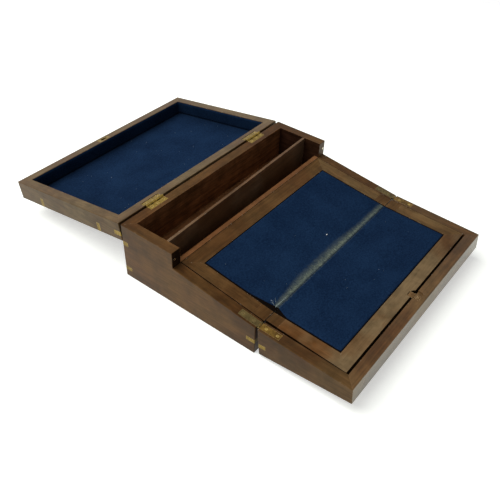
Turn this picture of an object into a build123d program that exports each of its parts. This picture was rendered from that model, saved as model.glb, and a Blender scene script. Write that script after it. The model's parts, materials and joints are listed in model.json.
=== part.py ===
from build123d import *
import math
import os

# Writing slope: a hinged box that opens into a sloping desk, modelled open for use.
# Millimetres. +X is the writer's right, +Y the back, +Z up. The origin is the centre of
# the case's underside. Flap and lid are drawn closed and then swung open about their pins,
# so every fit between them and the case comes from the closed box.

# Case
case_width = 356.0
case_depth = 227.0
rear_height = 90.5
rear_depth = 92.4            # raised part over the troughs, front to back
slope_top_height = 65.4      # top of the slope, where the raised part starts
front_height = 47.0
wall = 15.0
case_bottom_thickness = 6.0
edge_round = 0.9             # worn outer edges of case, flap and lid

# Flap and lid
flap_gap = 0.5               # closed flap above the slope, measured upright
flap_end_gap = 0.6           # closed flap to the raised part
flap_panel_thickness = 6.0
flap_swing = 174.7
lid_gap = 0.4                # closed lid above case and flap
lid_height = 29.0
lid_panel_thickness = 6.0
lid_overswing = 8.7          # the open lid hangs this far below level
lid_rest_gap = 0.4           # open lid's lower edge to the back wall

# Troughs and paper space
trough_floor_height = 40.0
trough_floor_thickness = 5.0
rail_thickness = 7.6
rail_gap = 0.8               # rail behind the raised part's front
rail_round = 2.0
rail_bevel_depth = 12.0
divider_thickness = 3.8
divider_drop = 0.5           # divider's top edge below the rim
divider_left_offset = 71.0   # from the case's back face, at the left end
divider_right_offset = 61.5  # and at the right end

# Writing boards
board_thickness = 9.0
board_seat_gap = 0.2
board_side_gap = 0.8
board_end_gap = 0.9
upper_left_gap = 1.5         # upper board's left side to the wall
fold_edge_gap = 0.5          # each board's edge to the fold line
fold_rail_width = 18.0
band_width = 20.2            # side bands beside the cloth
upper_band_width = 22.0
lower_board_end_gap = 3.4    # lower board's end to the flap's front wall
lower_band_width = 20.1
lower_taper_fold = 4.0       # lower board's left gap at the fold
lower_taper_front = 1.0      # and at the front
bearer_width = 6.0
bearer_height = 7.0

# Cloth
baize_thickness = 1.0
baize_sink = 0.4             # cloth below the bands
baize_edge_gap = 0.3
lining_thickness = 1.0
lining_drop = 1.0            # wall lining below the lid's rim

# Butt hinges at the back
butt_hinge_place = 112.0     # centre to the box's middle
butt_hinge_length = 33.0
butt_leaf_width = 8.3
butt_leaf_thickness = 1.5
butt_slot_gap = 1.2          # leaf to the other leaf's knuckles
lid_leaf_inset = 1.4         # lid leaf short of its bed in the wood
butt_barrel_radius = 2.2
butt_pin_radius = 1.2
butt_barrels = 5
butt_screw_spacing = 11.0
butt_screws = 3

# Strap hinges at the fold
strap_edge_gap = 2.8         # strap to the box's side
strap_width = 9.6
strap_reach = 31.0
strap_thickness = 1.1
strap_barrel_radius = 1.45
strap_pin_radius = 0.75
strap_barrels = 3
strap_screw_places = (9.7, 26.5)
fold_pin_offset = 1.6        # pin in front of the case's front face

pin_clearance = 0.05
barrel_end_gap = 0.25
barrel_side_gap = 0.15

# Screws
butt_head_radius = 2.0
strap_head_radius = 1.9
screw_shank_radius = 0.9
butt_screw_length = 9.0
strap_screw_length = 8.0
screw_slot_width = 0.6
screw_slot_depth = 0.5

# Lock in the flap, its key plate, and the striker in the lid
lock_place = -12.0           # to the right of the box's middle
lock_inset = 8.5             # from the front face to the bolt's middle
lock_width = 44.0
lock_foot_gap = 3.7          # lock above the lower board's bed in the closed box
lock_body_thickness = 9.0
lock_plate_width = 11.0
lock_plate_thickness = 1.5
lock_pin_radius = 0.8
bolt_width = 10.0
bolt_thickness = 4.0
bolt_foot_gap = 0.4          # bolt above the keyhole
bolt_clearance = 0.25
bolt_drop = 0.3              # drawn bolt below the plate's face
bolt_throw = 4.0
keyhole_rise = 10.0          # above the lock's foot
keyhole_radius = 1.9
keyhole_slot_width = 1.7
keyhole_slot_length = 5.0
key_plate_width = 14.0
key_plate_height = 20.0
key_plate_thickness = 1.0
striker_width = 22.0
striker_depth = 9.0
striker_thickness = 1.5
striker_screw_spacing = 16.0
striker_screw_radius = 1.5
striker_screw_length = 8.0
striker_mortise_gap = 3.2    # beyond the thrown bolt

# Turn catch
catch_place = 1.0
catch_inset = 3.9            # pivot in front of the flap front wall's inner edge
catch_width = 9.5
catch_reach = 11.4
catch_thickness = 1.6
catch_clearance = 0.3
catch_bed_gap = 0.1
catch_head_radius = 2.4
catch_head_thickness = 0.7
catch_shank_radius = 1.4
catch_screw_length = 10.0

# Brass straps let into the corners and edges: height of middle, width, reach on the side
corner_brass_thickness = 1.0
corner_end_reach = 12.0      # reach of each strap on the front or back face
case_upper_brass_drop = 31.0  # from the case's rim to the strap's middle
case_upper_brass = (rear_height - case_upper_brass_drop, 7.0, 10.0)
case_lower_brass = (14.8, 5.5, 12.0)
case_front_brass = (21.0, 6.0, 13.0)
flap_brass = (75.0, 6.0, 11.0)
lid_brass = (108.7, 7.0, 13.0)
edge_brass_width = 6.0
edge_brass_height = 14.0
edge_brass_reach = 10.0      # reach on the lid's outer face
edge_brass_places = (46.5, 174.5)  # from the lid's back face

# Studs on the raised part's front
stud_radius = 1.7
stud_height = 0.35
stud_length = 6.0
stud_inset = 4.9             # from the box's side
stud_rise = 12.9             # above the slope

# Worked out from the sizes above
side = case_width / 2
inner_side = side - wall
back = case_depth / 2
front = -back
step = back - rear_depth
slope = math.atan2(slope_top_height - front_height, step - front)
lean = math.degrees(slope)
fold_y = front - fold_pin_offset
surface = flap_gap / 2 * math.cos(slope)  # pin's plane to each writing surface
lid_turn = math.radians(lid_overswing)
lid_pin_offset = (lid_height * math.sin(lid_turn) + lid_rest_gap) / (1 + math.cos(lid_turn))
lid_pin_y = back + lid_pin_offset
lid_pin_z = rear_height + lid_gap / 2
lid_low = rear_height + lid_gap
lid_top = lid_low + lid_height
flap_end = step - flap_end_gap
rail_front = step + rail_gap
pocket = surface + board_thickness + board_seat_gap  # bed of a board, from the pin's plane
strap_place = side - strap_edge_gap - strap_width / 2
striker_mortise_depth = bolt_throw - bolt_drop - lid_gap + striker_mortise_gap
far = 2 * case_width                                 # longer than any cut needs


def slope_height(y):
    return front_height + (y - front) * math.tan(slope)


fold_z = slope_height(fold_y) + flap_gap / 2
flap_inner_length = (flap_end - wall - fold_y) / math.cos(slope)
upper_board_length = (rail_front - fold_y) / math.cos(slope) - board_end_gap
lower_board_length = flap_inner_length - lower_board_end_gap
flap_bed_top = slope_height(front + wall) + flap_gap / 2 + pocket / math.cos(slope)
lock_foot = flap_bed_top + lock_foot_gap


def block(x0, x1, y0, y1, z0, z1):
    middle = Pos((x0 + x1) / 2, (y0 + y1) / 2, (z0 + z1) / 2)
    return middle * Box(abs(x1 - x0), abs(y1 - y0), abs(z1 - z0))


def side_prism(outline, x0, x1):
    """An outline of (y, z) points, pulled from x0 to x1."""
    return Pos(x0, 0, 0) * extrude(Plane.YZ * Polygon(*outline), amount=x1 - x0, dir=(1, 0, 0))


def plan_prism(outline, z0, z1):
    """An outline of (x, y) points, pulled from z0 to z1."""
    return Pos(0, 0, z0) * extrude(Polygon(*outline), amount=z1 - z0, dir=(0, 0, 1))


def rod(radius, length):
    """A rod along X about the origin."""
    return Rot(0, 90, 0) * Cylinder(radius, length)


def on_slope(shape):
    """Places a shape drawn as x, distance up the slope from the fold pin, and height off it."""
    return Pos(0, fold_y, fold_z) * Rot(lean, 0, 0) * shape


def on_lid_pin(shape):
    """Places a shape drawn as x, distance forwards from the lid's pin, and depth below it."""
    return Pos(0, lid_pin_y, lid_pin_z) * Rot(180, 0, 0) * shape


def open_flap(shape):
    return shape.rotate(Axis((0, fold_y, fold_z), (1, 0, 0)), flap_swing)


def open_lid(shape):
    return shape.rotate(Axis((0, lid_pin_y, lid_pin_z), (1, 0, 0)), -180 - lid_overswing)


def mirrored(shape):
    return shape.mirror(Plane.YZ)


def save(name, pieces, place=None):
    """Writes one node from a solid or a list of solids, swung open by place."""
    solids = pieces if isinstance(pieces, list) else [pieces]
    placed = [place(solid) if place else solid for solid in solids]
    shape = placed[0] if len(placed) == 1 else Compound(placed)
    export_step(shape, f"parts/{name}.step")


def cut_from(wood, hardware):
    """Lets brass and screws into a wooden piece."""
    for piece in hardware:
        wood = wood - piece
    return wood


# Frames of four walls

def mitre_wedges(front_y, back_y):
    """Four upright regions that part a frame along its mitred corners."""
    corners = [(-side, front_y), (side, front_y), (side, back_y), (-side, back_y)]
    inward = [(wall, wall), (-wall, wall), (-wall, -wall), (wall, -wall)]
    hollow = [(x + dx, y + dy) for (x, y), (dx, dy) in zip(corners, inward)]
    wedges = {}
    for index, name in enumerate(("front", "right", "back", "left")):
        after = (index + 1) % len(corners)
        outline = [corners[index], corners[after], hollow[after], hollow[index]]
        wedges[name] = plan_prism(outline, -far, far)
    return wedges


def wall_frame(outline, front_y, back_y, notch=None):
    """Four mitred walls under a side outline. Every outer edge is rounded but one at a notch."""
    body = side_prism(outline, -side, side)
    outer = [edge for edge in body.edges() if not notch or (edge.center() - notch).length > edge_round]
    body = fillet(outer, edge_round)
    body = body - block(-inner_side, inner_side, front_y + wall, back_y - wall, -far, far)
    wedges = mitre_wedges(front_y, back_y)
    return {name: body & wedge for name, wedge in wedges.items()}


# Hinges and screws, drawn about a pin on X

def barrel_spans(length, count, first):
    pitch = length / count
    spans = []
    for index in range(first, count, 2):
        start = -length / 2 + index * pitch
        spans.append((start + barrel_end_gap / 2, start + pitch - barrel_end_gap / 2))
    return spans


def hinge_leaf(width, reach, root, plate, offset, barrel, bore, spans, facing):
    """A leaf on one side of the pin's plane: facing is 1 above the plane and -1 below it."""
    low = facing * offset
    high = facing * (offset + plate)
    leaf = block(-width / 2, width / 2, root, reach, low, high)
    for start, end in spans:
        leaf = leaf + block(start, end, 0, root, low, high)
        leaf = leaf + Pos((start + end) / 2, 0, 0) * rod(barrel, end - start)
    return leaf - rod(bore, 2 * width)


def screw_form(head_radius, length, facing):
    """A countersunk screw with its head's face on the plane, driven towards facing."""
    head_depth = head_radius - screw_shank_radius
    head = Pos(0, 0, -head_depth / 2) * Cone(screw_shank_radius, head_radius, head_depth)
    shank = Pos(0, 0, -length / 2) * Cylinder(screw_shank_radius, length)
    form = head + shank
    return form if facing < 0 else Rot(180, 0, 0) * form


def slotted(form, head_radius):
    """Cuts a screwdriver slot into a screw's head."""
    slot = block(-far, far, -screw_slot_width / 2, screw_slot_width / 2, -screw_slot_depth, screw_slot_depth)
    reach = block(-head_radius, head_radius, -head_radius, head_radius, -screw_slot_depth, screw_slot_depth)
    return form - (slot & reach)


def butt_hinge(x, facing):
    """Leaf and screws of one butt hinge, about the lid's pin."""
    root = butt_barrel_radius + butt_slot_gap
    middle = lid_pin_offset + butt_leaf_width / 2
    bed_end = lid_pin_offset + butt_leaf_width
    reach = bed_end if facing > 0 else bed_end - lid_leaf_inset
    spans = barrel_spans(butt_hinge_length, butt_barrels, 0 if facing > 0 else 1)
    leaf = hinge_leaf(
        butt_hinge_length, reach, root, butt_leaf_thickness,
        lid_gap / 2, butt_barrel_radius, butt_pin_radius + pin_clearance, spans, facing)
    half = butt_hinge_length / 2
    low = facing * lid_gap / 2
    bed = block(-half, half, 0, bed_end, low, low + facing * butt_leaf_thickness)
    forms = []
    for index in range(butt_screws):
        along = (index - (butt_screws - 1) / 2) * butt_screw_spacing
        form = screw_form(butt_head_radius, butt_screw_length, facing)
        forms.append((along, middle, facing * lid_gap / 2, form))
    return finish_hinge(leaf, bed, forms, x, butt_head_radius, on_lid_pin)


def strap_hinge(x, facing):
    """Leaf and screws of one strap hinge, about the fold's pin."""
    root = strap_barrel_radius + barrel_side_gap
    spans = barrel_spans(strap_width, strap_barrels, 0 if facing < 0 else 1)
    leaf = hinge_leaf(
        strap_width, strap_reach, root, strap_thickness, surface,
        strap_barrel_radius, strap_pin_radius + pin_clearance, spans, facing)
    forms = []
    for place in strap_screw_places:
        form = screw_form(strap_head_radius, strap_screw_length, facing)
        forms.append((0, place, facing * surface, form))
    return finish_hinge(leaf, leaf, forms, x, strap_head_radius, on_slope)


def finish_hinge(leaf, bed, forms, x, head_radius, place):
    """Cuts the screw seats and returns the leaf, its screws and what is let into the wood."""
    screws = []
    cutters = []
    for along, distance, height, form in forms:
        spot = Pos(x + along, distance, height)
        cutters.append(place(spot * form))
        screws.append(place(spot * slotted(form, head_radius)))
    let_in = [place(Pos(x, 0, 0) * bed)] + cutters
    leaf = cut_from(place(Pos(x, 0, 0) * leaf), cutters)
    return leaf, screws, let_in


# Brass straps let into the surface

def corner_brass(size, end_y, inward):
    """Two angle straps round the upright corners at end_y; inward points into the box."""
    height, width, reach = size
    low = height - width / 2
    high = height + width / 2
    skin = corner_brass_thickness
    leg = block(-side, -side + skin, end_y, end_y + inward * reach, low, high)
    end = block(-side, -side + corner_end_reach, end_y, end_y + inward * skin, low, high)
    strap = leg + end
    corner = strap.edges().filter_by(Axis.Z)
    corner = [e for e in corner if abs(e.center().X + side) < skin / 2]
    corner = [e for e in corner if abs(e.center().Y - end_y) < skin / 2]
    strap = fillet(corner, edge_round)
    return [strap, mirrored(strap)]


def edge_brass():
    """Angle straps over the lid's outer side edges."""
    straps = []
    skin = corner_brass_thickness
    for place in edge_brass_places:
        start = back - place - edge_brass_width / 2
        end = start + edge_brass_width
        leg = block(-side, -side + skin, start, end, lid_top - edge_brass_height, lid_top)
        cap = block(-side, -side + edge_brass_reach, start, end, lid_top - skin, lid_top)
        strap = leg + cap
        corner = strap.edges().filter_by(Axis.Y).sort_by(Axis.Z)[-2:]
        strap = fillet(corner.sort_by(Axis.X)[0], edge_round)
        straps.append(strap)
        straps.append(mirrored(strap))
    return straps


# Writing boards, drawn on the slope: x, distance from the fold, height off the pin's plane

def board_pieces(facing, length, end_band, fold_left, end_left, right, notch=None):
    """Cloth, core, bands and fold rail of one board. Facing is -1 in the case, 1 in the flap."""
    top = facing * surface
    bottom = facing * (surface + board_thickness)
    cloth_top = facing * (surface + baize_sink)
    cloth_bottom = facing * (surface + baize_sink + baize_thickness)
    start = fold_edge_gap
    rail_end = start + fold_rail_width
    band_start = length - end_band
    cloth_side = inner_side - board_side_gap - band_width
    outline = [(-fold_left, start), (right, start), (right, length), (-end_left, length)]
    blank = plan_prism(outline, min(top, bottom), max(top, bottom))
    if notch:
        blank = blank - notch
    recess = block(-cloth_side, cloth_side, -far, band_start, top - facing * far, cloth_bottom)
    blank = blank - recess
    left_mitre = [(-far, rail_end), (-cloth_side, rail_end), (-cloth_side, band_start)]
    left_mitre += [(-end_left, length), (-far, length)]
    right_mitre = [(far, rail_end), (cloth_side, rail_end), (cloth_side, band_start)]
    right_mitre += [(right, length), (far, length)]
    left = blank & plan_prism(left_mitre, -far, far)
    right_band = blank & plan_prism(right_mitre, -far, far)
    rail = blank & block(-far, far, -far, rail_end, -far, far)
    core = blank & block(-cloth_side, cloth_side, rail_end, band_start, -far, far)
    end = blank - left - right_band - rail - core
    edge = cloth_side - baize_edge_gap
    cloth = block(-edge, edge, start, band_start - baize_edge_gap, cloth_top, cloth_bottom)
    return {
        "fold_rail": rail, "left_band": left, "right_band": right_band,
        "end_band": end, "core": core, "baize": cloth}


def board_bed(facing):
    """Room for a board over the lowered wall at the fold."""
    return block(-inner_side, inner_side, -far, wall + fold_pin_offset * 2, -facing * far, facing * pocket)


def bearers(facing, start, length):
    """Strips inside the side walls that carry a board."""
    low = facing * pocket
    strip = block(-inner_side, -inner_side + bearer_width, start, length, low, low + facing * bearer_height)
    return [strip, mirrored(strip)]


# Turn catch at the front of the lower board

catch_pivot = flap_inner_length + catch_inset
catch_radius = catch_width / 2
catch_sweep = math.hypot(catch_reach, catch_radius) + catch_clearance


def catch_room(bottom):
    """Space that the catch sweeps as it turns a quarter towards +X."""
    edge = catch_radius + catch_clearance / 2
    disc = Pos(catch_place, catch_pivot, 0) * Cylinder(catch_sweep, 2 * bottom)
    ahead = block(catch_place - edge, far, -far, catch_pivot, -bottom, bottom)
    beside = block(catch_place, far, -far, catch_pivot + edge, -bottom, bottom)
    boss = Pos(catch_place, catch_pivot, 0) * Cylinder(edge, 2 * bottom)
    return (disc & (ahead + beside)) + boss


def turn_catch():
    """Catch and its screw, with their faces in the flap's writing surface."""
    low = surface
    high = surface + catch_thickness
    tongue = block(
        catch_place - catch_radius, catch_place + catch_radius,
        catch_pivot - catch_reach, catch_pivot, low, high)
    spot = Pos(catch_place, catch_pivot, 0)
    catch = tongue + spot * Pos(0, 0, (low + high) / 2) * Cylinder(catch_radius, catch_thickness)
    head_middle = surface + catch_head_thickness / 2
    shank_middle = surface + catch_screw_length / 2
    seat = Cylinder(catch_head_radius + pin_clearance, catch_head_thickness + 2 * pin_clearance)
    hole = Cylinder(catch_shank_radius + pin_clearance, far)
    catch = catch - spot * Pos(0, 0, head_middle) * seat
    catch = catch - spot * hole
    head = Pos(0, 0, head_middle) * Cylinder(catch_head_radius, catch_head_thickness)
    shank = Pos(0, 0, shank_middle) * Cylinder(catch_shank_radius, catch_screw_length)
    form = spot * (head + shank)
    slot = block(-far, far, -screw_slot_width / 2, screw_slot_width / 2, 0, surface + screw_slot_depth)
    return catch, form, form - spot * slot


# Lock, key plate and striker, drawn on the closed box

def keyhole(x, z, front_y, back_y):
    depth = back_y - front_y
    hole = Pos(x, (front_y + back_y) / 2, z) * Rot(90, 0, 0) * Cylinder(keyhole_radius, depth)
    half = keyhole_slot_width / 2
    return hole + block(x - half, x + half, front_y, back_y, z - keyhole_slot_length, z)


def lock_pieces():
    """Lock case, bolt, key plate and the room they need in the wall."""
    bolt_y = front + lock_inset
    top = rear_height
    half = lock_width / 2
    body_front = bolt_y - lock_body_thickness / 2
    body_back = bolt_y + lock_body_thickness / 2
    body = block(lock_place - half, lock_place + half, body_front, body_back, lock_foot, top)
    plate_half = lock_plate_width / 2
    plate = block(
        lock_place - half, lock_place + half, bolt_y - plate_half, bolt_y + plate_half,
        top - lock_plate_thickness, top)
    room = body + plate
    bolt_half = bolt_width / 2
    bolt_side = bolt_thickness / 2
    key_z = lock_foot + keyhole_rise
    bolt_foot = key_z + keyhole_radius + bolt_foot_gap
    bolt = block(
        lock_place - bolt_half, lock_place + bolt_half, bolt_y - bolt_side, bolt_y + bolt_side,
        bolt_foot, top - bolt_drop)
    gap = bolt_clearance
    channel = block(
        lock_place - bolt_half - gap, lock_place + bolt_half + gap,
        bolt_y - bolt_side - gap, bolt_y + bolt_side + gap, bolt_foot - gap, far)
    hole = keyhole(lock_place, key_z, front - key_plate_thickness, bolt_y)
    key_room = block(
        lock_place - bolt_half, lock_place + bolt_half, bolt_y - bolt_side, bolt_y + bolt_side,
        key_z - keyhole_slot_length - keyhole_radius, bolt_foot)
    pin_y = (body_front + bolt_y + bolt_side) / 2
    pin_length = bolt_y + bolt_side - body_front
    key_pin = Pos(lock_place, pin_y, key_z) * Rot(90, 0, 0) * Cylinder(lock_pin_radius, pin_length)
    key_pin = key_pin - block(-far, far, -far, far, bolt_foot - gap, far)
    case = room - channel - key_room - hole + key_pin
    plate_z = key_z + (keyhole_radius - keyhole_slot_length) / 2
    oval = Ellipse(key_plate_width / 2, key_plate_height / 2)
    escutcheon = extrude(oval, amount=2 * key_plate_thickness, both=True)
    escutcheon = Pos(lock_place, front, plate_z) * Rot(90, 0, 0) * escutcheon
    escutcheon = escutcheon & block(-far, far, front, front + key_plate_thickness, -far, far)
    return case, bolt, escutcheon - hole, [room, escutcheon, hole]


def striker_pieces():
    """Striker plate, its screws and what they cut from the lid's front wall."""
    y = front + lock_inset
    slot_half = bolt_width / 2 + 2 * bolt_clearance
    slot_side = bolt_thickness / 2 + 2 * bolt_clearance
    half = striker_width / 2
    plate = block(
        lock_place - half, lock_place + half, y - striker_depth / 2, y + striker_depth / 2,
        lid_low, lid_low + striker_thickness)
    mortise = block(
        lock_place - slot_half, lock_place + slot_half, y - slot_side, y + slot_side,
        lid_low, lid_low + striker_mortise_depth)
    screws = []
    forms = []
    for along in (-striker_screw_spacing / 2, striker_screw_spacing / 2):
        spot = Pos(lock_place + along, y, lid_low)
        form = screw_form(striker_screw_radius, striker_screw_length, 1)
        forms.append(spot * form)
        screws.append(spot * slotted(form, striker_screw_radius))
    plate = cut_from(plate - mortise, forms)
    return plate, screws, [plate, mortise] + forms


def make_case():
    outline = [
        (back, 0), (back, rear_height), (step, rear_height), (step, slope_top_height),
        (front, front_height), (front, 0)]
    walls = wall_frame(outline, front, back, Vector(0, step, slope_top_height))
    brass = {
        "case_upper_corner_brass": corner_brass(case_upper_brass, back, -1),
        "case_lower_corner_brass": corner_brass(case_lower_brass, back, -1),
        "case_front_corner_brass": corner_brass(case_front_brass, front, 1)}
    hardware = [strap for straps in brass.values() for strap in straps]
    leaves = {"butt": [], "strap": []}
    screws = {"butt": [], "strap": []}
    for sign in (-1, 1):
        for kind, hinge in (("butt", butt_hinge), ("strap", strap_hinge)):
            place = butt_hinge_place if kind == "butt" else strap_place
            leaf, leaf_screws, cutters = hinge(sign * place, 1 if kind == "butt" else -1)
            leaves[kind].append(leaf)
            screws[kind] += leaf_screws
            hardware += cutters
    stud_z = slope_top_height + stud_rise
    studs = []
    for sign in (-1, 1):
        middle = step - stud_height + stud_length / 2
        spot = Pos(sign * (side - stud_inset), middle, stud_z) * Rot(90, 0, 0)
        studs.append(spot * Cylinder(stud_radius, stud_length))
    hardware += studs
    bed = on_slope(board_bed(-1))
    for name, piece in walls.items():
        piece = cut_from(piece, hardware)
        if name == "front":
            piece = piece - bed
        save(f"case_{name}_wall", piece)
    for name, straps in brass.items():
        save(name, straps)
    for kind in leaves:
        save(f"{kind}_hinge_case_leaves", leaves[kind])
        save(f"{kind}_hinge_case_screws", screws[kind])
    save("step_studs", studs)
    butt_pin = rod(butt_pin_radius, butt_hinge_length)
    strap_pin = rod(strap_pin_radius, strap_width)
    save("butt_hinge_pins", [on_lid_pin(Pos(s * butt_hinge_place, 0, 0) * butt_pin) for s in (-1, 1)])
    save("strap_hinge_pins", [on_slope(Pos(s * strap_place, 0, 0) * strap_pin) for s in (-1, 1)])


def make_case_inside():
    floor_low = trough_floor_height - trough_floor_thickness
    bottom = block(-inner_side, inner_side, front + wall, back - wall, 0, case_bottom_thickness)
    rail_back = rail_front + rail_thickness
    drop = rail_bevel_depth
    outline = [
        (rail_front, slope_height(rail_front)),
        (rail_front + drop * math.sin(slope), slope_height(rail_front) - drop * math.cos(slope)),
        (rail_front + drop * math.sin(slope), floor_low),
        (rail_back, floor_low),
        (rail_back, slope_height(rail_back))]
    rail = side_prism(outline, -inner_side, inner_side)
    top_back = rail.edges().filter_by(Axis.X).sort_by(Axis.Z)[-1]
    rail = fillet(top_back, rail_round)
    floor = block(-inner_side, inner_side, rail_back, back - wall, floor_low, trough_floor_height)
    left = back - divider_left_offset
    right = back - divider_right_offset
    half = divider_thickness / 2
    plan = [
        (-inner_side, left - half), (inner_side, right - half),
        (inner_side, right + half), (-inner_side, left + half)]
    divider = plan_prism(plan, trough_floor_height, rear_height - divider_drop)
    save("case_bottom", bottom)
    save("partition_rail", rail)
    save("trough_floor", floor)
    save("trough_divider", divider)
    start = wall + 2 * fold_pin_offset
    strips = bearers(-1, start, upper_board_length)
    save("case_board_bearers", [on_slope(strip) for strip in strips])


def make_upper_board():
    left = inner_side - upper_left_gap
    right = inner_side - board_side_gap
    pieces = board_pieces(-1, upper_board_length, upper_band_width, left, left, right)
    for name, piece in pieces.items():
        save(f"upper_board_{name}", on_slope(piece))


def make_flap():
    outline = [
        (front, slope_height(front) + flap_gap), (flap_end, slope_height(flap_end) + flap_gap),
        (flap_end, rear_height), (front, rear_height)]
    walls = wall_frame(outline, front, flap_end)
    leaves = []
    screws = []
    hardware = []
    for sign in (-1, 1):
        leaf, leaf_screws, cutters = strap_hinge(sign * strap_place, 1)
        leaves.append(leaf)
        screws += leaf_screws
        hardware += cutters
    brass = corner_brass(flap_brass, front, 1)
    hardware += brass
    lock_case, bolt, key_plate, lock_room = lock_pieces()
    catch, catch_form, catch_screw = turn_catch()
    bed = on_slope(board_bed(1))
    catch_bed = on_slope(catch_room(surface + catch_thickness + catch_bed_gap))
    names = {"front": "hinge", "back": "front", "left": "left", "right": "right"}
    for wedge, name in names.items():
        piece = cut_from(walls[wedge], hardware)
        if name == "hinge":
            piece = cut_from(piece, [bed] + lock_room)
        if name == "front":
            piece = cut_from(piece, [catch_bed, on_slope(catch_form)])
        save(f"flap_{name}_wall", piece, open_flap)
    panel_low = rear_height - flap_panel_thickness
    panel = block(-inner_side, inner_side, front + wall, flap_end - wall, panel_low, rear_height)
    strips = bearers(1, wall + 2 * fold_pin_offset, lower_board_length)
    inside = block(-far, far, front + wall, flap_end - wall, -far, panel_low)
    save("flap_panel", panel, open_flap)
    save("flap_board_bearers", [on_slope(strip) & inside for strip in strips], open_flap)
    save("strap_hinge_flap_leaves", leaves, open_flap)
    save("strap_hinge_flap_screws", screws, open_flap)
    save("flap_corner_brass", brass, open_flap)
    save("lock_case", lock_case, open_flap)
    save("lock_bolt", bolt, open_flap)
    save("key_plate", key_plate, open_flap)
    save("turn_catch", on_slope(catch), open_flap)
    save("turn_catch_screw", on_slope(catch_screw), open_flap)


def make_lower_board():
    fold_left = inner_side - lower_taper_fold
    end_left = inner_side - lower_taper_front
    right = inner_side - board_side_gap
    notch = catch_room(far)
    pieces = board_pieces(1, lower_board_length, lower_band_width, fold_left, end_left, right, notch)
    for name, piece in pieces.items():
        save(f"lower_board_{name}", on_slope(piece), open_flap)


def make_lid():
    outline = [(front, lid_low), (back, lid_low), (back, lid_top), (front, lid_top)]
    walls = wall_frame(outline, front, back)
    leaves = []
    screws = []
    hardware = []
    for sign in (-1, 1):
        leaf, leaf_screws, cutters = butt_hinge(sign * butt_hinge_place, -1)
        leaves.append(leaf)
        screws += leaf_screws
        hardware += cutters
    corners = corner_brass(lid_brass, back, -1)
    edges = edge_brass()
    striker, striker_screws, striker_cutters = striker_pieces()
    hardware += corners + edges + striker_cutters
    for name, piece in walls.items():
        save(f"lid_{name}_wall", cut_from(piece, hardware), open_lid)
    panel_low = lid_top - lid_panel_thickness
    cloth_low = panel_low - lining_thickness
    panel = block(-inner_side, inner_side, front + wall, back - wall, panel_low, lid_top)
    floor = block(-inner_side, inner_side, front + wall, back - wall, cloth_low, panel_low)
    rim = lid_low + lining_drop
    lining = block(-inner_side, inner_side, front + wall, back - wall, rim, cloth_low)
    skin = lining_thickness
    open_side = inner_side - skin
    lining = lining - block(
        -open_side, open_side, front + wall + skin, back - wall - skin, rim, cloth_low)
    save("lid_panel", panel, open_lid)
    save("lid_floor_lining", floor, open_lid)
    save("lid_wall_lining", lining, open_lid)
    save("butt_hinge_lid_leaves", leaves, open_lid)
    save("butt_hinge_lid_screws", screws, open_lid)
    save("lid_corner_brass", corners, open_lid)
    save("lid_edge_brass", edges, open_lid)
    save("striker_plate", striker, open_lid)
    save("striker_screws", striker_screws, open_lid)


os.makedirs("parts", exist_ok=True)
make_case()
make_case_inside()
make_upper_board()
make_flap()
make_lower_board()
make_lid()
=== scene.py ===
import json
import math
import random

import bmesh
import bpy
from mathutils import Matrix, Vector, noise


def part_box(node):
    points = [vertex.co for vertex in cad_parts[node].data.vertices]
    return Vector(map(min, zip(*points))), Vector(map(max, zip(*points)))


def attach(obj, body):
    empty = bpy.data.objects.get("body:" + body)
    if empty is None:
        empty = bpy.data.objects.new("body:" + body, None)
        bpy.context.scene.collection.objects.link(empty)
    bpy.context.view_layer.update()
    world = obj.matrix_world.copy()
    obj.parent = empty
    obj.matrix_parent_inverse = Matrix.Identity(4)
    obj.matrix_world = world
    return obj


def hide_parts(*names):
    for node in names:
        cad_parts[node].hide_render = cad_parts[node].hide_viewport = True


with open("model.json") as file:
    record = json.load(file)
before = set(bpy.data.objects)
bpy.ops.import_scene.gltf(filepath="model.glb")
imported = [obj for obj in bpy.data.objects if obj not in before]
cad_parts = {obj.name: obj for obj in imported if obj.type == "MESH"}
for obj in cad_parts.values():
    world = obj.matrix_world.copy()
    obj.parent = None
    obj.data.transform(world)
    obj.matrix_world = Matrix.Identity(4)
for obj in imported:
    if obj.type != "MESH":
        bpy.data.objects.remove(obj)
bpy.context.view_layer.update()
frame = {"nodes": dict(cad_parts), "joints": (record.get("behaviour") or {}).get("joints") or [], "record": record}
nodes = frame["nodes"]
joints = {joint["name"]: joint for joint in frame["joints"]}
slopeAngle = 7.784  # degrees that the writing boards fall towards the writer
print("writing slope: frame loaded,", len(nodes), "pieces")


# camera where the photograph was taken from
def placeCamera():
    view = {
        "place": (-0.60316, -0.41545, 0.62657),
        "right": (0.6138, -0.7890, 0.0285),
        "up": (0.5058, 0.4207, 0.7531),
        "behind": (-0.6061, -0.4479, 0.6573),
        "lens": 46.04,
    }
    data = bpy.data.cameras.new("camera")
    data.lens = view["lens"]
    data.sensor_width = 36.0
    data.clip_start = 0.01
    camera = bpy.data.objects.new("camera", data)
    bpy.context.scene.collection.objects.link(camera)
    turn = Matrix((view["right"], view["up"], view["behind"])).transposed().to_quaternion()
    camera.matrix_world = Matrix.Translation(Vector(view["place"])) @ turn.to_matrix().to_4x4()
    bpy.context.scene.camera = camera


def addNode(tree, kind, **settings):
    node = tree.nodes.new(kind)
    for key, value in settings.items():
        setattr(node, key, value)
    return node


def setInputs(node, **values):
    for key, value in values.items():
        node.inputs[key.replace("_", " ")].default_value = value


def addSoftLight(name, place, size, power):
    data = bpy.data.lights.new(name, "AREA")
    data.shape = "DISK"
    data.size = size
    data.energy = power
    lamp = bpy.data.objects.new(name, data)
    bpy.context.scene.collection.objects.link(lamp)
    lamp.location = place
    lamp.rotation_euler = (-Vector(place)).to_track_quat("-Z", "Y").to_euler()


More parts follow.
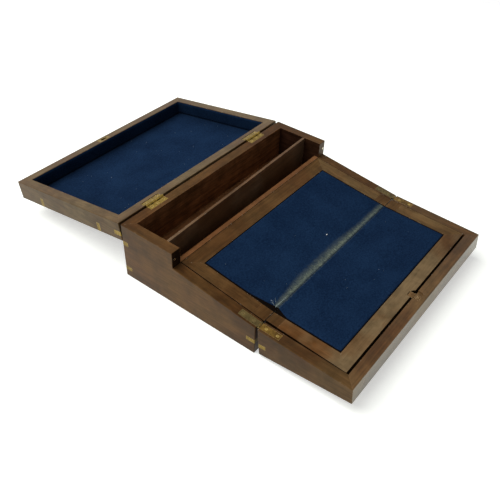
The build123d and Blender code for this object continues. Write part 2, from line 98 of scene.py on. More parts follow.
# 1 for the rays that see the white studio: straight from the camera, mirrored or let through
def studioRays(tree):
    path = addNode(tree, "ShaderNodeLightPath")
    mirrored = calculate(tree, "MAXIMUM", path.outputs["Is Camera Ray"], path.outputs["Is Glossy Ray"])
    return calculate(tree, "MAXIMUM", mirrored, path.outputs["Is Transmission Ray"])


def lightStudio():
    studio = {
        "air": (0.96, 0.98, 1.0, 1.0), "airStrength": 0.18,
        "keyPlace": (-0.9, 1.6, 3.0), "keySize": 3.8, "keyPower": 142.0,
        "sidePlace": (-2.4, -0.1, 0.9), "sideSize": 1.4, "sidePower": 10.0}
    scene = bpy.context.scene
    scene.view_settings.view_transform = "Standard"
    world = bpy.data.worlds.new("studioAir")
    scene.world = world
    world.use_nodes = True
    tree = world.node_tree
    tree.nodes.clear()
    out = addNode(tree, "ShaderNodeOutputWorld")
    air = addNode(tree, "ShaderNodeBackground")
    setInputs(air, Color=studio["air"], Strength=studio["airStrength"])
    white = addNode(tree, "ShaderNodeBackground")
    setInputs(white, Color=(1, 1, 1, 1), Strength=1.0)
    mix = addNode(tree, "ShaderNodeMixShader")
    tree.links.new(studioRays(tree), mix.inputs["Fac"])
    tree.links.new(air.outputs[0], mix.inputs[1])
    tree.links.new(white.outputs[0], mix.inputs[2])
    tree.links.new(mix.outputs[0], out.inputs["Surface"])
    addSoftLight("keyLight", studio["keyPlace"], studio["keySize"], studio["keyPower"])
    addSoftLight("sideLight", studio["sidePlace"], studio["sideSize"], studio["sidePower"])


def newMaterial(name):
    material = bpy.data.materials.new(name)
    material.use_nodes = True
    tree = material.node_tree
    tree.nodes.clear()
    out = addNode(tree, "ShaderNodeOutputMaterial")
    shader = addNode(tree, "ShaderNodeBsdfPrincipled")
    tree.links.new(shader.outputs[0], out.inputs["Surface"])
    return material, tree, shader


def layFloor():
    floor = {"size": 2.4, "paper": (0.8, 0.83, 0.77, 1.0), "glow": 0.49}
    material, tree, shader = newMaterial("paperFloor")
    setInputs(shader, Base_Color=floor["paper"], Roughness=0.9)
    glow = addNode(tree, "ShaderNodeEmission")
    setInputs(glow, Color=(1, 1, 1, 1), Strength=floor["glow"])
    add = addNode(tree, "ShaderNodeAddShader")
    mix = addNode(tree, "ShaderNodeMixShader")
    out = next(n for n in tree.nodes if n.type == "OUTPUT_MATERIAL")
    tree.links.new(shader.outputs[0], add.inputs[0])
    tree.links.new(glow.outputs[0], add.inputs[1])
    tree.links.new(studioRays(tree), mix.inputs["Fac"])
    tree.links.new(shader.outputs[0], mix.inputs[1])
    tree.links.new(add.outputs[0], mix.inputs[2])
    tree.links.new(mix.outputs[0], out.inputs["Surface"])
    bm = bmesh.new()
    bmesh.ops.create_grid(bm, x_segments=1, y_segments=1, size=floor["size"] / 2)
    mesh = bpy.data.meshes.new("floor")
    bm.to_mesh(mesh)
    bm.free()
    sheet = bpy.data.objects.new("floor", mesh)
    bpy.context.scene.collection.objects.link(sheet)
    mesh.materials.append(material)


# shared parts of the finishes: noise, ramps, arithmetic and a mask of worn edges
def noiseOn(tree, vector, scale, detail, roughness=0.55, distortion=0.0):
    cloud = addNode(tree, "ShaderNodeTexNoise")
    setInputs(cloud, Scale=scale, Detail=detail, Roughness=roughness, Distortion=distortion)
    tree.links.new(vector, cloud.inputs["Vector"])
    return cloud.outputs["Fac"]


def twoColours(tree, value, dark, light, low=0.3, high=0.7):
    ramp = addNode(tree, "ShaderNodeValToRGB")
    ends = ramp.color_ramp.elements
    ends[0].position = low
    ends[0].color = (*dark, 1)
    ends[1].position = high
    ends[1].color = (*light, 1)
    tree.links.new(value, ramp.inputs["Fac"])
    return ramp.outputs["Color"]


def remap(tree, value, fromLow, fromHigh, toLow, toHigh):
    change = addNode(tree, "ShaderNodeMapRange")
    setInputs(change, From_Min=fromLow, From_Max=fromHigh, To_Min=toLow, To_Max=toHigh)
    tree.links.new(value, change.inputs["Value"])
    return change.outputs[0]


def calculate(tree, operation, first, second):
    node = addNode(tree, "ShaderNodeMath", operation=operation)
    for socket, value in zip(node.inputs, (first, second)):
        if hasattr(value, "is_linked"):
            tree.links.new(value, socket)
        else:
            socket.default_value = value
    return node.outputs[0]


def multiply(tree, *values):
    product = values[0]
    for value in values[1:]:
        product = calculate(tree, "MULTIPLY", product, value)
    return product


def scaleColour(tree, colour, amount):
    scaled = addNode(tree, "ShaderNodeVectorMath", operation="SCALE")
    tree.links.new(colour, scaled.inputs[0])
    tree.links.new(amount, scaled.inputs["Scale"])
    return scaled.outputs[0]


def splitVector(tree, vector):
    split = addNode(tree, "ShaderNodeSeparateXYZ")
    tree.links.new(vector, split.inputs[0])
    return split.outputs


def mixColours(tree, amount, first, second):
    mix = addNode(tree, "ShaderNodeMix", data_type="RGBA")
    tree.links.new(amount, mix.inputs["Factor"])
    for socket, value in ((mix.inputs["A"], first), (mix.inputs["B"], second)):
        socket = [s for s in mix.inputs if s.name == socket.name and s.type == "RGBA"][0]
        if hasattr(value, "is_linked"):
            tree.links.new(value, socket)
        else:
            socket.default_value = (*value, 1)
    return [s for s in mix.outputs if s.type == "RGBA"][0]


def wornEdges(tree, radius, sharpness):
    rounded = addNode(tree, "ShaderNodeBevel", samples=4)
    setInputs(rounded, Radius=radius)
    flat = addNode(tree, "ShaderNodeNewGeometry")
    dot = addNode(tree, "ShaderNodeVectorMath", operation="DOT_PRODUCT")
    tree.links.new(rounded.outputs[0], dot.inputs[0])
    tree.links.new(flat.outputs["Normal"], dot.inputs[1])
    return remap(tree, dot.outputs["Value"], 1.0, 1.0 - sharpness, 0.0, 1.0)


# the pale stretch along the board's end where a hand rests, less worn at its far end
def handWorn(tree, place, patch, look):
    where = splitVector(tree, place)
    reach = remap(tree, where["Y"], look["wornFrom"], look["wornTo"], 0.0, look["handWear"])
    aside = remap(tree, where["X"], *look["farWearSpan"], 1.0, look["farWear"])
    return multiply(tree, reach, aside, remap(tree, patch, 0.35, 0.6, 0.7, 1.25))


# grain runs along one axis of the object: fibres over a slow figure, with faded patches,
# rubbed arrises and pale nicks; painted shade makes tops and sides lighter or darker by the way they face
def mahogany(name, look, grain):
    spread = {
        "figure": (0.32, 0.7), "patch": (0.42, 0.62), "fibre": (0.35, 0.65), "stain": (0.32, 0.6),
        "pore": (0.3, 0.42), "rubbed": (0.4, 0.6), "upward": (0.6, 0.9)}
    material, tree, shader = newMaterial(name)
    link = tree.links.new
    coord = addNode(tree, "ShaderNodeTexCoord")
    place = coord.outputs["Object"]
    facing = splitVector(tree, coord.outputs["Normal"])
    stretch = [1.0, 1.0, 1.0]
    stretch["xyz".index(grain)] = look["stretch"]
    along = addNode(tree, "ShaderNodeMapping")
    setInputs(along, Scale=stretch)
    link(place, along.inputs["Vector"])
    figure = noiseOn(tree, along.outputs[0], look["figureScale"], 3.0, 0.55, 0.7)
    fibre = noiseOn(tree, along.outputs[0], look["fibreScale"], 4.0, 0.62)
    pores = noiseOn(tree, along.outputs[0], look["poreScale"], 2.0, 0.5)
    patch = noiseOn(tree, place, look["patchScale"], 4.0, 0.55)
    stain = noiseOn(tree, place, look["stainScale"], 3.0, 0.6)
    wood = twoColours(tree, figure, look["dark"], look["light"], *spread["figure"])
    fade = remap(tree, patch, *spread["patch"], 0.0, look["fade"])
    if "handWear" in look:
        fade = calculate(tree, "ADD", fade, handWorn(tree, place, patch, look))
    wood = mixColours(tree, fade, wood, look["faded"])
    upward = remap(tree, facing["Z"], *spread["upward"], 0.0, 1.0)
    shade = multiply(
        tree,
        remap(tree, fibre, *spread["fibre"], 1.0 - look["fibre"], 1.0 + look["fibre"]),
        remap(tree, stain, *spread["stain"], 1.0 - look["stain"], 1.0 + 0.4 * look["stain"]),
        remap(tree, pores, *spread["pore"], 1.0 - look["pore"], 1.0),
        remap(tree, upward, 0.0, 1.0, look["sideShade"], look["topShade"]))
    if "farShade" in look:
        across = splitVector(tree, place)["X"]
        shade = multiply(tree, shade, remap(tree, across, *look["farShadeSpan"], 1.0, look["farShade"]))
    colour = scaleColour(tree, wood, shade)
    worn = wornEdges(tree, look["wornWidth"], 0.35)
    rubbed = multiply(tree, worn, remap(tree, stain, *spread["rubbed"], 0.1, look["wear"]))
    colour = mixColours(tree, rubbed, colour, look["bare"])
    chips = noiseOn(tree, place, look["nickScale"], 1.0, 0.5)
    nick = multiply(tree, worn, remap(tree, chips, look["nickShare"], look["nickShare"] + 0.02, 0.0, 0.8))
    colour = mixColours(tree, nick, colour, look["nick"])
    sheen = remap(tree, upward, 0.0, 1.0, look["sideSheen"], look["topSheen"])
    # painted shadow: the bed under the cloth is coloured near black and loses its sheen
    if "bedSide" in look:
        bedShadow = shadowedClothBed(tree, place, facing, look["bedSide"])
        colour = mixColours(tree, bedShadow, colour, look["glue"])
        sheen = multiply(tree, sheen, calculate(tree, "SUBTRACT", 1.0, bedShadow))
    # painted shade inside the case and on the left step, where the sheen is also taken off
    if "inside" in look:
        colour, dull = paintInsideShade(tree, place, facing, shade, colour, look)
        sheen = multiply(tree, sheen, calculate(tree, "SUBTRACT", 1.0, dull))
    link(colour, shader.inputs["Base Color"])
    link(sheen, shader.inputs["Specular IOR Level"])
    rough = remap(tree, patch, 0.3, 0.7, look["roughness"] - 0.07, look["roughness"] + 0.09)
    link(calculate(tree, "ADD", rough, multiply(tree, upward, 0.12)), shader.inputs["Roughness"])
    bump = addNode(tree, "ShaderNodeBump")
    setInputs(bump, Strength=look["bump"], Distance=0.0003)
    link(fibre, bump.inputs["Height"])
    link(bump.outputs[0], shader.inputs["Normal"])
    setInputs(shader, Specular_Tint=(*look["sheenTint"], 1))
    return material


# painted shade inside the case: brown along the long walls, near black on the end walls and on the left step
def paintInsideShade(tree, place, facing, shade, colour, look):
    width, depth = look["inside"]
    hollow = multiply(tree, insideOf(tree, place, "X", width), insideOf(tree, place, "Y", depth), 0.9)
    ends = calculate(tree, "ABSOLUTE", facing["X"], 0.0)
    lining = mixColours(tree, ends, look["longInside"], look["endInside"])
    insideShadeColour = scaleColour(tree, lining, calculate(tree, "POWER", shade, 1.6))
    colour = mixColours(tree, hollow, colour, insideShadeColour)
    step = shadedStepFace(tree, place, facing, width)
    colour = mixColours(tree, multiply(tree, step, 0.8), colour, look["glue"])
    return colour, calculate(tree, "MAXIMUM", hollow, step)


# 1 where a point lies between the two inner faces of a frame, 0 outside them
def insideOf(tree, place, axis, half):
    where = splitVector(tree, place)
    return calculate(tree, "LESS_THAN", calculate(tree, "ABSOLUTE", where[axis], 0.0), half)


# the small face where the left wall steps down to the slope, painted near black as shade
def shadedStepFace(tree, place, facing, half):
    where = splitVector(tree, place)
    outer = calculate(tree, "LESS_THAN", where["X"], -half)
    forward = calculate(tree, "LESS_THAN", facing["Y"], -0.5)
    raised = calculate(tree, "GREATER_THAN", where["Y"], 0.0)
    return multiply(tree, outer, forward, raised)


# upward faces between the side bands, painted near black as shadow where the cloth has pulled away
def shadowedClothBed(tree, place, facing, side):
    up = calculate(tree, "GREATER_THAN", facing["Z"], 0.5)
    return multiply(tree, up, insideOf(tree, place, "X", side))


def agedBrass(name, look):
    material, tree, shader = newMaterial(name)
    link = tree.links.new
    coord = addNode(tree, "ShaderNodeTexCoord")
    tarnish = noiseOn(tree, coord.outputs["Object"], look["spotScale"], 4.0, 0.62)
    grime = noiseOn(tree, coord.outputs["Object"], look["grimeScale"], 2.0, 0.5)
    metal = twoColours(tree, tarnish, look["dull"], look["bright"], 0.36, 0.62)
    metal = scaleColour(tree, metal, remap(tree, grime, 0.33, 0.43, look["grime"], 1.0))
    # edges rubbed bright: real wear, and also a painted highlight standing in for the glints along the edges
    rubbed = multiply(tree, wornEdges(tree, look["wornWidth"], 0.3), look["wear"])
    link(mixColours(tree, rubbed, metal, look["rubbed"]), shader.inputs["Base Color"])
    rough = remap(tree, tarnish, 0.3, 0.7, look["roughness"] + 0.12, look["roughness"] - 0.1)
    link(rough, shader.inputs["Roughness"])
    bump = addNode(tree, "ShaderNodeBump")
    setInputs(bump, Strength=0.2, Distance=0.0002)
    link(tarnish, bump.inputs["Height"])
    link(bump.outputs[0], shader.inputs["Normal"])
    setInputs(shader, Metallic=1.0)
    return material


# wool baize: a felted nap, faint rubbed clouds and a few specks of lint; the writing cloth has a bare
# ridge along the fold, the lid's lining has painted shade towards its walls and corners
def baizeCloth(name, look, foldWorn):
    material, tree, shader = newMaterial(name)
    link = tree.links.new
    coord = addNode(tree, "ShaderNodeTexCoord")
    place = coord.outputs["Object"]
    nap = noiseOn(tree, place, look["napScale"], 2.0, 0.6)
    felt = noiseOn(tree, place, look["feltScale"], 3.0, 0.6)
    cloud = noiseOn(tree, place, look["cloudScale"], 3.0, 0.5)
    mottle = calculate(tree, "ADD", multiply(tree, nap, 0.35), multiply(tree, felt, 0.4))
    mottle = calculate(tree, "ADD", mottle, multiply(tree, cloud, 0.25))
    colour = twoColours(tree, mottle, look["dark"], look["light"], 0.4, 0.6)
    colour = mixColours(tree, lintSpecks(tree, place, look), colour, look["lint"])
    if foldWorn:
        colour = wornFold(tree, place, colour, look)
    else:
        # painted shade on the lid's lining, read from the cornerShade attribute
        corners = addNode(tree, "ShaderNodeAttribute", attribute_name="cornerShade")
        wallShade = multiply(tree, corners.outputs["Fac"], look["cornerDark"])
        colour = scaleColour(tree, colour, calculate(tree, "SUBTRACT", 1.0, wallShade))
    link(colour, shader.inputs["Base Color"])
    bump = addNode(tree, "ShaderNodeBump")
    setInputs(bump, Strength=0.5, Distance=0.0004)
    link(calculate(tree, "ADD", nap, felt), bump.inputs["Height"])
    link(bump.outputs[0], shader.inputs["Normal"])
    setInputs(shader, Roughness=0.95, Specular_IOR_Level=0.04)
    return material


# round specks of lint, in a small share of the cells of a scattered pattern
def lintSpecks(tree, place, look):
    cells = addNode(tree, "ShaderNodeTexVoronoi", feature="F1")
    setInputs(cells, Scale=look["lintScale"], Randomness=1.0)
    tree.links.new(place, cells.inputs["Vector"])
    draw = addNode(tree, "ShaderNodeSeparateColor")
    tree.links.new(cells.outputs["Color"], draw.inputs[0])
    near = calculate(tree, "LESS_THAN", cells.outputs["Distance"], look["lintSize"])
    rare = calculate(tree, "GREATER_THAN", draw.outputs[0], 1.0 - look["lintShare"])
    return multiply(tree, near, rare, 0.75)


# the ridge where the cloth folds is worn to pale thread: broad at the writer's left and middle but for
# a thin tip, narrow at the far end, and sharp on its lower side
def wornFold(tree, place, cloth, look):
    where = splitVector(tree, place)
    fold = joints["flap_hinge"]["pos_m"]
    nearEnd, farEnd = look["foldEnds"]
    ragged = noiseOn(tree, place, look["ragScale"], 4.0, 0.7)
    ragged = remap(tree, ragged, 0.3, 0.7, -look["ragWidth"], look["ragWidth"])
    across = calculate(tree, "ADD", calculate(tree, "SUBTRACT", where["Y"], fold[1]), ragged)
    width = multiply(
        tree,
        remap(tree, where["X"], look["wideTo"], look["narrowFrom"], look["wideReach"], look["narrowReach"]),
        remap(tree, where["X"], nearEnd, look["tipTo"], look["tip"], 1.0))
    ridge = remap(tree, where["X"], nearEnd, farEnd, look["ridge"], look["farRidge"])
    upper = calculate(tree, "DIVIDE", calculate(tree, "SUBTRACT", across, ridge), width)
    lower = calculate(tree, "DIVIDE", calculate(tree, "SUBTRACT", ridge, across), look["lowerReach"])
    fade = calculate(tree, "SUBTRACT", 1.0, calculate(tree, "MAXIMUM", upper, lower))
    fade = calculate(tree, "POWER", calculate(tree, "MAXIMUM", fade, 0.0), look["fadePower"])
    threads = addNode(tree, "ShaderNodeMapping")
    setInputs(threads, Scale=(1.0, 0.3, 1.0))
    tree.links.new(place, threads.inputs["Vector"])
    warp = noiseOn(tree, threads.outputs[0], look["warpScale"], 3.0, 0.7)
    clump = noiseOn(tree, place, look["clumpScale"], 3.0, 0.6)
    fade = multiply(
        tree, fade,
        remap(tree, where["X"], look["farFadeFrom"], farEnd, 1.0, look["farFade"]),
        remap(tree, warp, 0.25, 0.7, 0.5, 1.1),
        remap(tree, clump, 0.3, 0.65, 0.6, 1.1))
    fade.node.use_clamp = True
    worn = twoColours(tree, warp, look["ground"], look["thread"], 0.3, 0.72)
    return mixColours(tree, fade, cloth, worn)


def mahoganyFinishes():
    case = {
        "dark": (0.036, 0.013, 0.004), "light": (0.083, 0.0335, 0.009), "faded": (0.107, 0.053, 0.017),
        "bare": (0.17, 0.1, 0.05), "nick": (0.5, 0.42, 0.32), "glue": (0.006, 0.004, 0.003),
        "stretch": 0.06, "figureScale": 45.0, "fibreScale": 320.0, "poreScale": 1100.0, "patchScale": 13.0,
        "stainScale": 42.0, "nickScale": 260.0, "nickShare": 0.655, "fibre": 0.23, "stain": 0.29, "pore": 0.22,
        "fade": 0.75, "wornWidth": 0.0011, "wear": 0.65, "roughness": 0.34, "bump": 0.22,
        "sideSheen": 0.19, "topSheen": 0.11, "sideShade": 1.0, "topShade": 0.95,
        "sheenTint": (1.0, 0.68, 0.24)}
    looks = {
        "case_wood": case,
        "lid_wood": dict(
            case, dark=(0.058, 0.029, 0.0125), light=(0.1, 0.056, 0.024), faded=(0.125, 0.088, 0.045),
            topSheen=0.3),
        "flap_wood": dict(case, light=(0.078, 0.033, 0.011), faded=(0.1, 0.055, 0.021), topSheen=0.2),
        # painted light: the flap's front wall is painted lighter on its sides and top, standing in for the glare
        # on its face
        "front_wood": dict(
            case, light=(0.078, 0.033, 0.011), faded=(0.1, 0.055, 0.021), roughness=0.26, sideShade=1.6,
            topShade=1.35, sideSheen=1.0, topSheen=0.2, sheenTint=(1.0, 0.98, 0.68)),
        # painted shade: the side faces of both boards, seen only in the gaps, are painted dark
        "board_wood": dict(
            case, dark=(0.05, 0.02, 0.006), light=(0.098, 0.044, 0.014), faded=(0.11, 0.06, 0.022),
            roughness=0.42, sideShade=0.2, sideSheen=0.03, topSheen=0.12),
        "lower_board_wood": dict(
            case, dark=(0.08, 0.03, 0.008), light=(0.15, 0.062, 0.019), faded=(0.165, 0.11, 0.055),
            wornFrom=-0.19, wornTo=-0.222, handWear=0.78, farWear=0.2, farWearSpan=(0.02, 0.12),
            farShade=0.72, farShadeSpan=(0.05, 0.14), stain=0.34, fibre=0.14, roughness=0.42,
            sideShade=0.2, sideSheen=0.03, topSheen=0.16),
        "inner_wood": dict(
            case, dark=(0.1, 0.038, 0.013), light=(0.2, 0.08, 0.029), faded=(0.21, 0.094, 0.038),
            bare=(0.14, 0.075, 0.035), roughness=0.4, sideSheen=0.3, topSheen=0.2, wear=0.4)}
    looks["bed_wood"] = dict(looks["board_wood"], bedSide=0.1421)
    looks["far_band_wood"] = dict(
        looks["board_wood"], dark=(0.067, 0.033, 0.011), light=(0.133, 0.068, 0.025),
        faded=(0.145, 0.091, 0.038))
    looks["divider_wood"] = dict(
        looks["inner_wood"], dark=(0.065, 0.03, 0.013), light=(0.12, 0.06, 0.029), faded=(0.13, 0.083, 0.05),
        sideShade=0.9, topShade=1.05, topSheen=0.3)
    looks["case_wood"] = dict(
        case, inside=(0.1632, 0.0987), longInside=(0.19, 0.084, 0.034), endInside=(0.02, 0.008, 0.005))
    finish = {}
    for slot, look in looks.items():
        for axis in "xyz":
            finish[slot, axis] = mahogany(slot.replace("_wood", "Mahogany") + "_" + axis, look, axis)
    return finish


def brassFinishes():
    finish = {}
    brass = {
        "dull": (0.155, 0.102, 0.02), "bright": (0.25, 0.165, 0.032), "rubbed": (0.7, 0.52, 0.2),
        "spotScale": 90.0, "grimeScale": 420.0, "grime": 0.55, "wornWidth": 0.0005, "wear": 0.85,
        "roughness": 0.38}
    finish["brass"] = agedBrass("agedBrass", brass)
    finish["dullBrass"] = agedBrass("dullBrass", dict(
        brass, dull=(0.06, 0.043, 0.017), bright=(0.115, 0.084, 0.031), rubbed=(0.3, 0.22, 0.09)))
    finish["strapBrass"] = agedBrass("strapBrass", dict(
        brass, dull=(0.074, 0.041, 0.01), bright=(0.168, 0.098, 0.022), rubbed=(0.6, 0.42, 0.18), wear=0.7))
    finish["catch"] = agedBrass("catchBrass", dict(
        brass, dull=(0.1, 0.054, 0.02), bright=(0.17, 0.095, 0.038), rubbed=(0.75, 0.55, 0.3), wear=0.9))
    finish["stud"] = agedBrass("studBrass", dict(
        brass, dull=(0.5, 0.44, 0.3), bright=(0.8, 0.74, 0.58), rubbed=(0.95, 0.9, 0.75), grime=0.8,
        roughness=0.3))
    finish["iron"] = agedBrass("boltSteel", dict(
        brass, dull=(0.05, 0.045, 0.04), bright=(0.16, 0.15, 0.135), rubbed=(0.4, 0.38, 0.35)))
    return finish


def baizeFinishes():
    finish = {}
    baize = {
        "dark": (0.0028, 0.0105, 0.031), "light": (0.0088, 0.0265, 0.066), "lint": (0.3, 0.36, 0.44),
        "napScale": 1500.0, "feltScale": 420.0, "cloudScale": 24.0,
        "lintScale": 70.0, "lintSize": 0.05, "lintShare": 0.05,
        "ridge": 0.0031, "farRidge": 0.0042, "wideTo": 0.02, "narrowFrom": 0.07, "wideReach": 0.0125,
        "narrowReach": 0.0075, "lowerReach": 0.0052, "fadePower": 1.35, "farFade": 0.7,
        "farFadeFrom": 0.03, "foldEnds": (-0.14, 0.14), "tip": 0.3, "tipTo": -0.07,
        "ragScale": 260.0, "ragWidth": 0.0011, "warpScale": 900.0, "clumpScale": 120.0,
        "ground": (0.066, 0.082, 0.055), "thread": (0.215, 0.245, 0.185)}
    finish["writingBaize"] = baizeCloth("writingBaize", baize, True)
    finish["liningBaize"] = baizeCloth("liningBaize", dict(baize, lintShare=0.08, cornerDark=0.58), False)
    wool = {"pale": (0.4, 0.46, 0.45), "grey": (0.2, 0.25, 0.25), "scale": 700.0}
    finish["paleWool"] = frayedWool("paleWool", wool)
    finish["whiteWool"] = frayedWool("whiteWool", dict(wool, pale=(0.9, 0.9, 0.88), grey=(0.7, 0.7, 0.68)))
    finish["fray"] = frayedWool("frayedWool", dict(wool, pale=(0.24, 0.29, 0.3), grey=(0.09, 0.13, 0.15)))
    return finish


def frayedWool(name, look):
    material, tree, shader = newMaterial(name)
    coord = addNode(tree, "ShaderNodeTexCoord")
    value = noiseOn(tree, coord.outputs["Object"], look["scale"], 2.0)
    tree.links.new(twoColours(tree, value, look["grey"], look["pale"]), shader.inputs["Base Color"])
    setInputs(shader, Roughness=0.9, Specular_IOR_Level=0.1)
    return material


def finishMaterials():
    return {**mahoganyFinishes(), **brassFinishes(), **baizeFinishes()}


def dressNodes(finish):
    bodies = frame["record"]["behaviour"]["bodies"]
    bodyOf = {node: body for body, listed in bodies.items() for node in listed}
    special = {
        "turn_catch": "catch", "turn_catch_screw": "catch", "step_studs": "stud",
        "strap_hinge_case_leaves": "dullBrass", "strap_hinge_case_screws": "dullBrass",
        "strap_hinge_flap_leaves": "strapBrass", "flap_front_wall": "front_wood",
        "trough_divider": "divider_wood", "upper_board_right_band": "far_band_wood",
        "lower_board_right_band": "far_band_wood",
        "upper_board_core": "bed_wood", "upper_board_fold_rail": "bed_wood", "lower_board_core": "bed_wood",
        "lower_board_fold_rail": "bed_wood"}
    for part in frame["record"]["subparts"]:
        name = part["node"]
        slot = special.get(name, part["material_slot"])
        if slot == "case_wood" and bodyOf[name] != "case":
            slot = bodyOf[name] + "_wood"
        if slot == "board_wood" and bodyOf[name] == "lower_board":
            slot = "lower_board_wood"
        low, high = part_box(name)
        axis = "x" if high.x - low.x > high.y - low.y else "y"
        material = finish.get((slot, axis)) or finish.get(slot) or finish["liningBaize"]
        nodes[name].data.materials.clear()
        nodes[name].data.materials.append(material)


# frames in which the pieces were drawn: the slope, the open flap and the open lid
def turnAbout(joint, angle):
    pin = Matrix.Translation(Vector(joints[joint]["pos_m"]))
    return pin @ Matrix.Rotation(math.radians(angle), 4, "X")


def fromPin(joint):
    return Matrix.Translation(-Vector(joints[joint]["pos_m"]))


def addPiece(name, bm, place, material, body):
    bm.transform(place)
    mesh = bpy.data.meshes.new(name)
    bm.to_mesh(mesh)
    bm.free()
    for face in mesh.polygons:
        face.use_smooth = True
    piece = bpy.data.objects.new(name, mesh)
    bpy.context.scene.collection.objects.link(piece)
    mesh.materials.append(material)
    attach(piece, body)
    return piece


# the two halves of the writing baize, stuck down on the boards and pulled in at the writer's left of the fold
def layWritingBaize(finish):
    baize = {
        "width": 0.2834, "upperLength": 0.115, "lowerLength": 0.0977, "start": 0.00002, "thickness": 0.0009,
        "sink": 0.00065, "inset": 0.0009, "ragged": 0.0003, "raggedScale": 90.0, "ripple": 0.00012,
        "rippleScale": 26.0, "cells": 120, "leftInset": 0.0019, "pull": 0.007, "pullCurve": 1.3,
        "upperPull": 0.046, "lowerPull": 0.02, "foldLift": 0.0004, "foldReach": 0.006}
    swing = joints["flap_hinge"]["range_deg"][1]
    halves = (
        ("writingBaizeUpper", "upper_board", baize["upperLength"], slopeAngle, -1, baize["upperPull"]),
        ("writingBaizeLower", "lower_board", baize["lowerLength"], slopeAngle + swing, 1, baize["lowerPull"]))
    for name, body, length, turn, side, reach in halves:
        bm = bmesh.new()
        rows = max(8, round(baize["cells"] * length / baize["width"]))
        bmesh.ops.create_grid(bm, x_segments=baize["cells"], y_segments=rows, size=0.5)
        for vert in bm.verts:
            across, along = vert.co.x, vert.co.y + 0.5
            x = across * baize["width"]
            s = baize["start"] + along * (length - baize["inset"])
            wander = baize["ragged"] * noise.noise(Vector((x, s, side)) * baize["raggedScale"])
            x -= 2 * across * (baize["inset"] + wander)
            near = max(0.0, 1 - s / reach)
            x += (baize["leftInset"] + baize["pull"] * near ** baize["pullCurve"]) * max(0.0, -2 * across) ** 6
            s -= max(0.0, 2 * along - 1) ** 8 * abs(wander)
            lift = baize["foldLift"] * max(0.0, 1 - s / baize["foldReach"]) ** 2
            ripple = baize["ripple"] * noise.noise(Vector((x, s, side)) * baize["rippleScale"])
            vert.co = (x, s, side * (baize["sink"] - lift - ripple))
        place = turnAbout("flap_hinge", turn)
        piece = addSheet(name, bm, place, finish["writingBaize"], body, baize["thickness"], -side)
        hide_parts(body + "_baize")


# gives an open sheet its thickness: side is 1 where its faces already point away from what it lies on
def addSheet(name, bm, place, material, body, thickness, side=1):
    if side < 0:
        bmesh.ops.reverse_faces(bm, faces=bm.faces)
    piece = addPiece(name, bm, place, material, body)
    thick = piece.modifiers.new("thickness", "SOLIDIFY")
    thick.thickness = thickness
    thick.offset = -1
    return piece


# the lid's lining in the frame of the closed box: one sheet under the top and one band round the walls
def lineLid(finish):
    lining = {
        "side": 0.163, "end": 0.0985, "face": 0.1129, "rim": 0.0919, "thickness": 0.0009, "cells": 90,
        "ripple": 0.00025, "rippleScale": 22.0, "edgeWave": 0.0003, "edgeScale": 60.0, "wallShade": 0.055,
        "footShade": 0.75, "rimShade": 0.45}
    place = turnAbout("lid_hinge", -joints["lid_hinge"]["range_deg"][1]) @ fromPin("lid_hinge")
    side, end = lining["side"], lining["end"]
    bm = bmesh.new()
    rows = round(lining["cells"] * end / side)
    bmesh.ops.create_grid(bm, x_segments=lining["cells"], y_segments=rows, size=0.5)
    # painted shade on the floor sheet, darkest at the foot of the walls and fading away from them
    shade = bm.verts.layers.float.new("cornerShade")
    for vert in bm.verts:
        x, y = 2 * vert.co.x * side, 2 * vert.co.y * end
        ripple = lining["ripple"] * noise.noise(Vector((x, y, 3)) * lining["rippleScale"])
        vert.co = (x, y, lining["face"] - abs(ripple))
        wall = min(side - abs(x), y + end, 2 * end)
        vert[shade] = lining["footShade"] * max(0.0, 1 - wall / lining["wallShade"]) ** 1.5
    floor = addSheet("lidFloorLining", bm, place, finish["liningBaize"], "lid", lining["thickness"], -1)
    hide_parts("lid_floor_lining")
    around = 4 * (side + end)
    bm = bmesh.new()
    bmesh.ops.create_grid(bm, x_segments=4 * lining["cells"], y_segments=6, size=0.5)
    shade = bm.verts.layers.float.new("cornerShade")
    for vert in bm.verts:
        x, y = wallPoint((vert.co.x + 0.5) * around, side, end)
        wave = lining["edgeWave"] * noise.noise(Vector((x, y, 5)) * lining["edgeScale"])
        height = vert.co.y + 0.5
        # painted shade on the wall band, from the rim down to the foot
        vert[shade] = lining["rimShade"] + (lining["footShade"] - lining["rimShade"]) * height
        vert.co = (x, y, lining["rim"] + wave * (1 - height) + height * (lining["face"] - lining["rim"]))
    bmesh.ops.remove_doubles(bm, verts=bm.verts, dist=0.00005)
    band = addSheet("lidWallLining", bm, place, finish["liningBaize"], "lid", lining["thickness"])
    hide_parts("lid_wall_lining")


# a point on the rectangle of the lid's inner walls, by the distance walked from the front left corner
def wallPoint(walked, side, end):
    for start, step, length in (
            ((-side, -end), (1, 0), 2 * side), ((side, -end), (0, 1), 2 * end),
            ((side, end), (-1, 0), 2 * side), ((-side, end), (0, -1), 2 * end)):
        if walked <= length:
            return start[0] + step[0] * walked, start[1] + step[1] * walked
        walked -= length
    return -side, -end


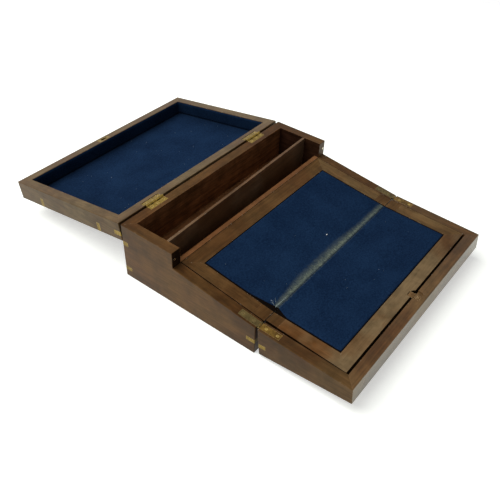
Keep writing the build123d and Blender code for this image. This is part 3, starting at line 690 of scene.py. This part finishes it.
# short bent tubes of wool, scattered by a seeded draw over a patch of cloth
def scatterThreads(name, body, turn, side, finish, threads):
    curve = bpy.data.curves.new(name, "CURVE")
    curve.dimensions = "3D"
    curve.bevel_depth = threads["radius"]
    curve.bevel_resolution = 1
    chance = random.Random(threads["seed"])
    for index in range(threads["count"]):
        x = chance.uniform(*threads["across"])
        s = chance.uniform(*threads["along"])
        length = chance.uniform(*threads["length"])
        heading = math.radians(chance.uniform(*threads["heading"]))
        bend = math.radians(chance.uniform(-threads["bend"], threads["bend"]))
        spline = curve.splines.new("POLY")
        spline.points.add(threads["steps"] - 1)
        for step, point in enumerate(spline.points):
            share = step / (threads["steps"] - 1)
            height = threads["height"] + threads["loft"] * math.sin(math.pi * share)
            point.co = (x, s, side * -height, 1)
            x += length / threads["steps"] * math.cos(heading + bend * share)
            s += length / threads["steps"] * math.sin(heading + bend * share)
    loose = bpy.data.objects.new(name, curve)
    bpy.context.scene.collection.objects.link(loose)
    mesh = bpy.data.meshes.new_from_object(loose.evaluated_get(bpy.context.evaluated_depsgraph_get()))
    bpy.data.objects.remove(loose)
    bm = bmesh.new()
    bm.from_mesh(mesh)
    bpy.data.meshes.remove(mesh)
    return addPiece(name, bm, turn, finish[threads["wool"]], body)


# threads pulled loose where the fold's ridge starts, bits of lint on the cloths and one white fleck
def looseThreads(finish):
    fold = {
        "wool": "paleWool", "seed": 4, "count": 5, "across": (-0.136, -0.127), "along": (0.003, 0.008),
        "length": (0.004, 0.009), "heading": (10, 70), "bend": 50, "radius": 0.0001, "height": -0.0002,
        "loft": 0.0003, "steps": 9}
    ridge = dict(
        fold, seed=6, count=2, across=(-0.136, -0.134), along=(0.0025, 0.0035), length=(0.02, 0.03),
        heading=(-2, 2), bend=6, radius=0.00016, loft=0.0002)
    lint = {
        "wool": "fray", "seed": 11, "count": 6, "across": (-0.135, 0.135), "along": (0.015, 0.095),
        "length": (0.0008, 0.0028), "heading": (-180, 180), "bend": 70, "radius": 0.00012, "height": -0.0003,
        "loft": 0.0002, "steps": 4}
    fleck = dict(
        lint, wool="whiteWool", count=1, across=(0.0224, 0.0225), along=(0.0287, 0.0288),
        length=(0.0024, 0.0025), heading=(-10, 10), bend=10, radius=0.0009)
    lidLint = dict(lint, seed=13, count=26, across=(-0.16, 0.16), along=(-0.21, -0.02), height=-0.022)
    upper = turnAbout("flap_hinge", slopeAngle)
    lower = turnAbout("flap_hinge", slopeAngle + joints["flap_hinge"]["range_deg"][1])
    lid = turnAbout("lid_hinge", -joints["lid_hinge"]["range_deg"][1])
    scatterThreads("foldThreads", "upper_board", upper, -1, finish, fold)
    scatterThreads("ridgeThreads", "upper_board", upper, -1, finish, ridge)
    scatterThreads("upperLint", "upper_board", upper, -1, finish, lint)
    scatterThreads("whiteFleck", "upper_board", upper, -1, finish, fleck)
    scatterThreads("lowerLint", "lower_board", lower, 1, finish, dict(lint, seed=12))
    scatterThreads("lidLint", "lid", lid, 1, finish, lidLint)


def main():
    placeCamera()
    lightStudio()
    layFloor()
    finish = finishMaterials()
    dressNodes(finish)
    print("camera, light and finishes set")
    layWritingBaize(finish)
    lineLid(finish)
    print("baize laid on the boards and in the lid")
    looseThreads(finish)
    print("threads and lint scattered")


main()

bpy.context.view_layer.update()
